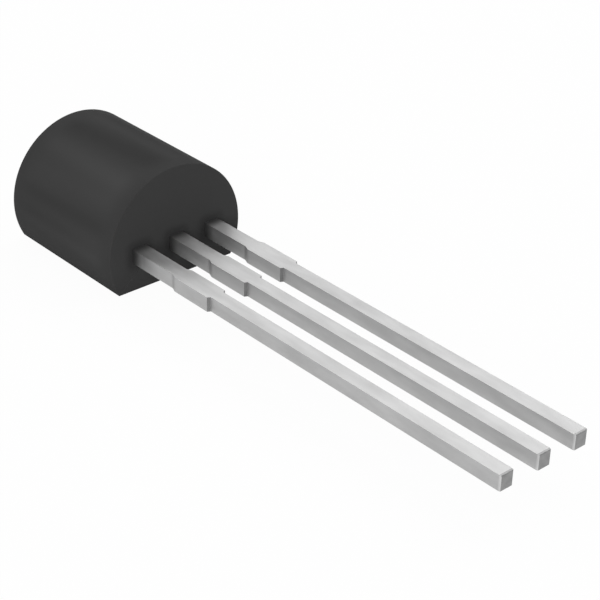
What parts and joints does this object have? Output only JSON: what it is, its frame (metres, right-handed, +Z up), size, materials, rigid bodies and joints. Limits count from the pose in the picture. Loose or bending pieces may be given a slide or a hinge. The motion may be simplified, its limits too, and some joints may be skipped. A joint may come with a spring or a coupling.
{
  "type": "voltage regulator",
  "caption": "Black moulded semiconductor package, flat on one side and round on the other, with a row of straight square tin-plated leads.",
  "frame": {"origin": "middle of the body's flat, which the part lies on", "axes": "+X along the leads towards their tips, +Y across the leads, +Z up from the flat to the round side"},
  "size_m": [0.0185, 0.0046, 0.0034],
  "materials": {
    "moulding": "satin",
    "lead": "satin",
    "chip_bond": "matte",
    "chip": "polished",
    "bond_wire": "polished"
  },
  "bodies": {
    "root": {"moulded_body": "moulding", "left_lead": "lead", "middle_lead": "lead", "right_lead": "lead", "chip_bond": "chip_bond", "chip": "chip", "left_bond_wire": "bond_wire", "middle_bond_wire": "bond_wire", "right_bond_wire": "bond_wire"}
  },
  "joints": []
}
